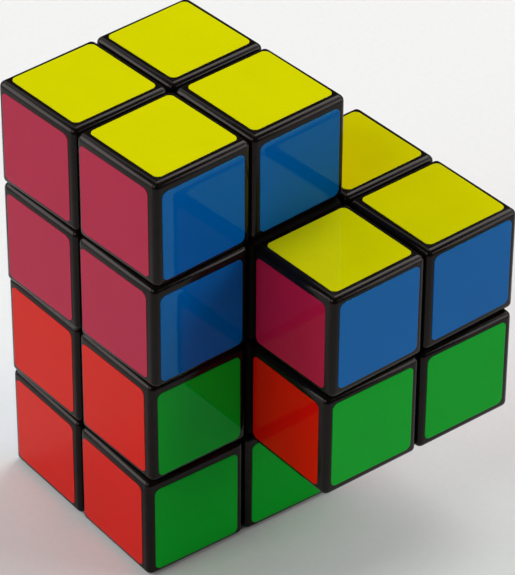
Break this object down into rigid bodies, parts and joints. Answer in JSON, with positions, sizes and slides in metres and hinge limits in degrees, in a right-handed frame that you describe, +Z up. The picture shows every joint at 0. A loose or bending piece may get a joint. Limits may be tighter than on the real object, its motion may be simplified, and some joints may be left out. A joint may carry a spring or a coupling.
{
  "type": "fused twisty puzzle cube chain",
  "caption": "Fused twisty puzzle: small turning cubes joined as a square tower with one more on its corner; layers and the whole upper half turn on upright axes.",
  "frame": {"origin": "on the resting plane, under the middle of the whole object's bounding box, which is the middle of the base layer's right back cubie", "axes": "+Z up along the tower, -Y towards the front, +X to the right; the side cube hangs at +X +Y; the lower group's faces are square to X and Y"},
  "size_m": [0.0758, 0.0769, 0.0996],
  "materials": {
    "black_plastic": "black moulded plastic, semi-gloss, with rounded edges",
    "hub_plastic": "pale grey moulded nylon",
    "cap_plastic": "dark grey moulded plastic",
    "screw_steel": "zinc-plated steel",
    "spring_steel": "drawn spring wire",
    "sticker_yellow": "glossy yellow vinyl sticker",
    "sticker_magenta": "glossy magenta vinyl sticker",
    "sticker_blue": "glossy blue vinyl sticker",
    "sticker_red": "glossy red vinyl sticker",
    "sticker_green": "glossy green vinyl sticker",
    "sticker_white": "glossy white vinyl sticker"
  },
  "bodies": {
    "base_layer": {"bottom_cubie_lower_back_left": "black_plastic", "bottom_cubie_lower_back_right": "black_plastic", "bottom_cubie_lower_front_left": "black_plastic", "bottom_cubie_lower_front_right": "black_plastic", "bottom_seat_lower": "cap_plastic"},
    "lower_group": {"bottom_cubie_upper_back_left": "black_plastic", "bottom_cubie_upper_front_left": "black_plastic", "bottom_cubie_upper_front_right": "black_plastic", "bottom_hub": "hub_plastic", "bottom_screw_front": "screw_steel", "bottom_screw_left": "screw_steel", "bottom_screw_lower": "screw_steel", "bottom_seat_front": "cap_plastic", "bottom_seat_left": "cap_plastic", "bottom_spring_front": "spring_steel", "bottom_spring_left": "spring_steel", "bottom_spring_lower": "spring_steel", "fused_cubie_lower": "black_plastic", "side_cubie_lower_back_left": "black_plastic", "side_cubie_lower_back_right": "black_plastic", "side_cubie_lower_front_right": "black_plastic", "side_hub": "hub_plastic", "side_screw_back": "screw_steel", "side_screw_right": "screw_steel", "side_screw_upper": "screw_steel", "side_seat_back": "cap_plastic", "side_seat_right": "cap_plastic", "side_spring_back": "spring_steel", "side_spring_right": "spring_steel", "side_spring_upper": "spring_steel"},
    "upper_group": {"fused_cubie_upper": "black_plastic", "side_cubie_upper_back_left": "black_plastic", "side_cubie_upper_back_right": "black_plastic", "side_cubie_upper_front_right": "black_plastic", "side_seat_upper": "cap_plastic", "top_cubie_lower_back_left": "black_plastic", "top_cubie_lower_front_left": "black_plastic", "top_cubie_lower_front_right": "black_plastic", "top_hub": "hub_plastic", "top_screw_front": "screw_steel", "top_screw_left": "screw_steel", "top_screw_upper": "screw_steel", "top_seat_front": "cap_plastic", "top_seat_left": "cap_plastic", "top_spring_front": "spring_steel", "top_spring_left": "spring_steel", "top_spring_upper": "spring_steel"},
    "top_layer": {"top_cubie_upper_back_left": "black_plastic", "top_cubie_upper_back_right": "black_plastic", "top_cubie_upper_front_left": "black_plastic", "top_cubie_upper_front_right": "black_plastic", "top_seat_upper": "cap_plastic"}
  },
  "joints": [
    {"name": "base_layer_turn", "type": "hinge", "parent": "base_layer", "child": "lower_group", "pos_m": [-0.0125, -0.0125, 0.0248], "axis": [0, 0, 1], "continuous": true},
    {"name": "upper_half_turn", "type": "hinge", "parent": "lower_group", "child": "upper_group", "pos_m": [0.0125, 0.0125, 0.0498], "axis": [0, 0, 1], "continuous": true},
    {"name": "top_layer_turn", "type": "hinge", "parent": "upper_group", "child": "top_layer", "pos_m": [-0.01179, -0.01319, 0.0748], "axis": [0, 0, 1], "continuous": true}
  ]
}
